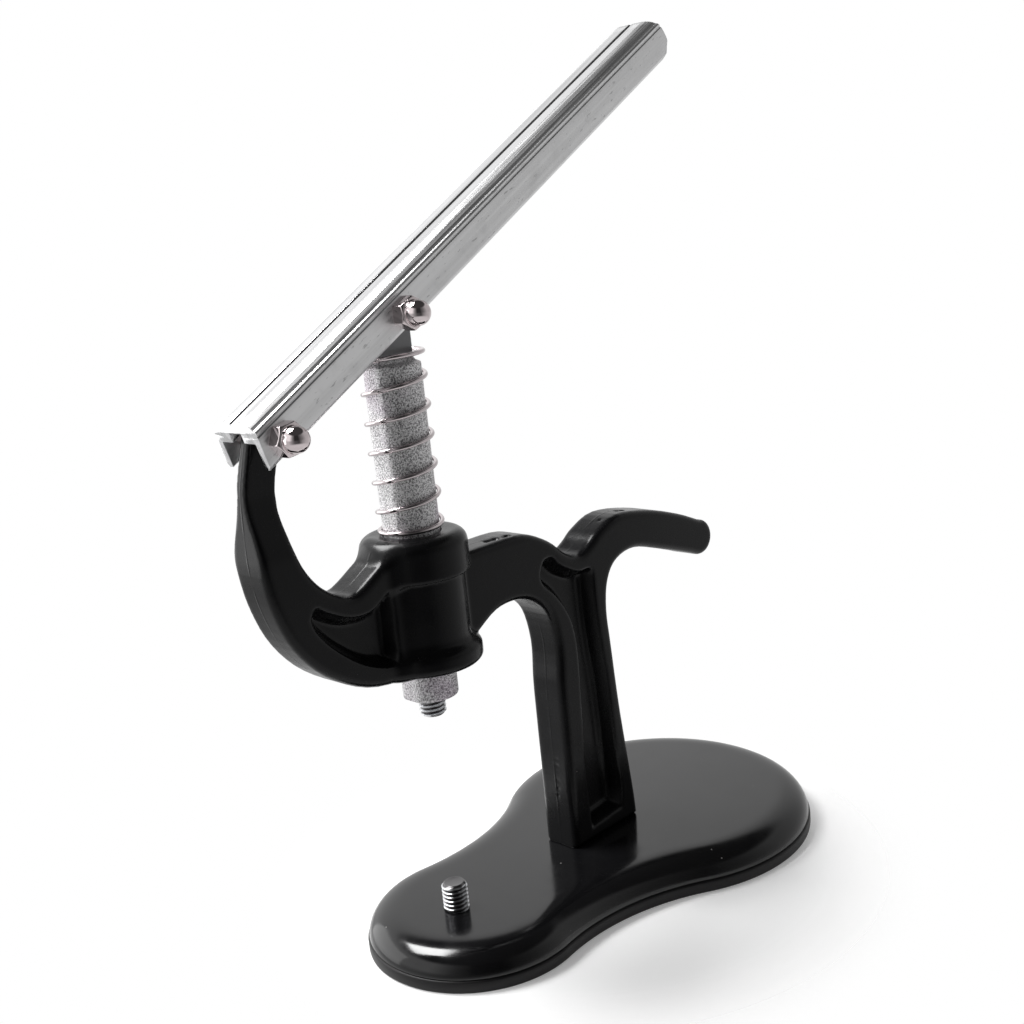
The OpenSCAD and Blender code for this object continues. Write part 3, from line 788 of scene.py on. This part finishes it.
def cap_nut_shape(at, turned):
    """A cap nut on the lever's near side: a hexagon chamfered at both ends, and a dome."""
    def shape(x, y, z):
        x, z, h = x - at[0], z - at[1], -lever_w2 - y
        r = np.hypot(x, z)
        bar = both(hexagon(x, z, nut_flats, turned, 0.10), np.maximum(-h, h - nut_h), 0.08)
        outer_chamfer = (r - 3.50 + (h - 2.75) * 1.5) * 0.55
        inner_chamfer = (r - 3.35 - h * 1.2) * 0.64
        bar = both(both(bar, outer_chamfer, 0.06), inner_chamfer, 0.06)
        barrel = both(r - dome_r, h - dome_low)
        ball = np.sqrt(r * r + (h - dome_low) ** 2) - dome_r
        return either(bar, both(np.minimum(barrel, ball), 1 - h), 0.18)
    return shape


def bolt_shape(at, turned):
    """A bolt with its chamfered and dished head on the lever's far side, and its shank through the lever."""
    def shape(x, y, z):
        x, z, h = x - at[0], z - at[1], y - lever_w2
        r = np.hypot(x, z)
        head = both(hexagon(x, z, head_flats, turned, 0.12), np.maximum(-h, h - head_h), 0.12)
        chamfer = (r - 3.75 + (h - 2.3) * 1.6) * 0.53
        head = without(both(head, chamfer, 0.08), both(r - recess_r, recess_floor - h, 0.1), 0.1)
        shank = both(r - shank_r, np.maximum(h - 1, -lever_w2 * 2 - shank_past - h))
        return np.minimum(head, shank)
    return shape


def fastener(name, node, shape, step):
    """A nickelled nut or bolt in place of a CAD node."""
    low, high = corner(node, False), corner(node, True)
    piece = solid_piece(name, shape, low - 0.3, high + 0.3, step, nickel)
    finish_piece(piece, "lever", "nickel_plate", node)


nut_step = 0.12
for name, at, nut_turn in (("front", pivot, hex_turn - 20), ("ram", ram_eye, hex_turn)):
    fastener(name + "_acorn_nut", name + "_cap_nut", cap_nut_shape(at, nut_turn), nut_step)
    fastener(name + "_hex_bolt", name + "_pivot_bolt", bolt_shape(at, hex_turn), nut_step * 1.3)

# The frame screws are hidden and keep their CAD shape
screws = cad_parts["frame_screws"]
screws.data.materials.clear()
screws.data.materials.append(zinc)

# ---------------------------------------------------------------- stage, light and camera

def studio_floor():
    """A pale disc that fades out into the white surround."""
    rings, columns = 24, 96
    middle_x, floor_r = 30, 1100
    fade_x, fade_from, fade_to = 46, 50, 84
    radius = np.linspace(0.02, 1, rings) ** 1.5 * floor_r
    a = 2 * np.pi * np.arange(columns) / columns
    points = [(middle_x + r * math.cos(b), r * math.sin(b), 0) for r in radius for b in a]
    points.append((middle_x, 0, 0))
    faces = rings_to_faces(rings, columns) + [[len(points) - 1, k, (k + 1) % columns] for k in range(columns)]
    s = Shader("pale_floor")
    away = s.node("VectorMath", 1, {"operation": "DISTANCE"}, i0=s.place, i1=(fade_x * MM, 0, 0))
    clear = s.tree.nodes.new("ShaderNodeBsdfTransparent")
    fade = s.tree.nodes.new("ShaderNodeMixShader")
    s.link(s.ramp(away, fade_from * MM, fade_to * MM), fade.inputs[0])
    s.link(s.principled.outputs[0], fade.inputs[1])
    s.link(clear.outputs[0], fade.inputs[2])
    s.link(fade.outputs[0], s.tree.nodes["Material Output"].inputs[0])
    material = s.finish(Base_Color=(0.93, 0.93, 0.93), Roughness=0.7, Specular_IOR_Level=0.2,
                        Emission_Color=(1, 1, 1), Emission_Strength=0.22)
    return new_piece("floor", points, faces, material)


floor = studio_floor()
floor.location.z = -0.05 * MM


class Room(Shader):
    """The world's node graph: how bright the room is in each direction."""

    near_side, left_side = (-0.698, -0.716, 0), (-0.700, 0.714, 0)

    def __init__(self):
        world = bpy.data.worlds.new("studio")
        bpy.context.scene.world = world
        world.use_nodes = True
        self.tree = world.node_tree
        self.place = self.node("TexCoord", "Generated")

    def towards(self, direction):
        """1 in that direction, 0 square to it and -1 opposite."""
        return self.node("VectorMath", "Value", {"operation": "DOT_PRODUCT"}, i0=self.place, i1=direction)

    def around(self, levels):
        """Brightness round the horizon, from (degrees, brightness) pairs that start at -180.

        The near side is at 0 degrees and the left side at 90.
        """
        turn = self.math("ARCTAN2", self.towards(self.left_side), self.towards(self.near_side))
        share = self.math("MULTIPLY_ADD", turn, 0.5 / math.pi)
        self.link(0.5, share.node.inputs[2])
        node = self.tree.nodes.new("ShaderNodeValToRGB")
        self.link(share, node.inputs[0])
        brightest = max(level for _, level in levels)
        stops = node.color_ramp.elements
        stops[1].position = 1.0
        for degrees, level in levels:
            place = degrees / 360 + 0.5
            stop = stops[0] if place == 0 else stops[-1] if place == 1 else stops.new(place)
            stop.color = (*[level / brightest] * 3, 1)
        return self.math("MULTIPLY", node.outputs[0], brightest)

    def blend(self, factor, a, b):
        """Brightness a where factor is 0, and b where it is 1."""
        return self.node("MapRange", 0, Value=factor, To_Min=a, To_Max=b)


room = Room()
height = room.towards((0, 0, 1))
walls = room.around([(-180, 1.0), (-160, 0.66), (-130, 0.52), (-90, 0.48), (-60, 0.22), (-25, 0.03),
                     (5, 0.03), (25, 0.3), (50, 1.15), (120, 1.15), (180, 0.95)])
skirting = room.around([(-180, 0.85), (-150, 0.70), (-120, 0.58), (-90, 0.50), (-60, 0.34), (-30, 0.06),
                        (5, 0.10), (30, 0.30), (60, 0.60), (120, 0.65), (180, 0.85)])
table_level, ceiling_level, surround_level = 0.70, 0.05, 1.0
light = room.blend(room.ramp(height, -0.14, 0.14), skirting, walls)
light = room.blend(room.ramp(height, -0.62, -0.36), table_level, light)
light = room.blend(room.ramp(height, 0.60, 0.74), light, ceiling_level)
# The camera itself sees an even surround behind the press
seen = room.blend(room.node("LightPath", "Is Camera Ray"), light, surround_level)
background = room.tree.nodes["Background"]
room.link(seen, background.inputs["Strength"])
background.inputs["Color"].default_value = (1, 1, 1, 1)


def softbox(name, place, aim, size, power):
    """A rectangular area light at a place and aimed at a point. The camera doesn't see it."""
    data = bpy.data.lights.new(name, "AREA")
    data.shape = "RECTANGLE"
    data.size, data.size_y = size[0] * MM, size[1] * MM
    data.energy = power
    lamp = bpy.data.objects.new(name, data)
    bpy.context.scene.collection.objects.link(lamp)
    lamp.location = Vector(place) * MM
    aimed = (Vector(aim) - Vector(place)).normalized()
    lamp.rotation_euler = aimed.to_track_quat("-Z", "Y").to_euler()
    lamp.visible_camera = False


softbox("key", place=(-120, 255, 530), aim=(0, 0, 10), size=(260, 260), power=4.6)
softbox("left_panel", place=(-250, 530, 140), aim=(0, 0, 90), size=(620, 460), power=1.1)

camera_data = bpy.data.cameras.new("camera")
camera_data.sensor_width = 36.0
camera_data.lens = 45.24
camera_data.clip_start = 0.01
camera = bpy.data.objects.new("camera", camera_data)
bpy.context.scene.collection.objects.link(camera)
camera_place = Vector((-171.51, -206.92, 158.95))
azimuth, elevation, roll = (math.radians(v) for v in (-44.286, 12.523, -5.834))
level_back = Vector((math.sin(azimuth), -math.cos(azimuth), 0))
back = math.cos(elevation) * level_back + Vector((0, 0, math.sin(elevation)))
level_right = Vector((math.cos(azimuth), math.sin(azimuth), 0))
level_up = back.cross(level_right)
right = math.cos(roll) * level_right + math.sin(roll) * level_up
up = math.cos(roll) * level_up - math.sin(roll) * level_right
camera_turn = Matrix((right, up, back)).transposed()
camera.matrix_world = Matrix.Translation(camera_place * MM) @ camera_turn.to_4x4()
bpy.context.scene.camera = camera
bpy.context.scene.view_settings.view_transform = "Standard"
bpy.context.scene.view_settings.look = "None"

bpy.context.view_layer.update()
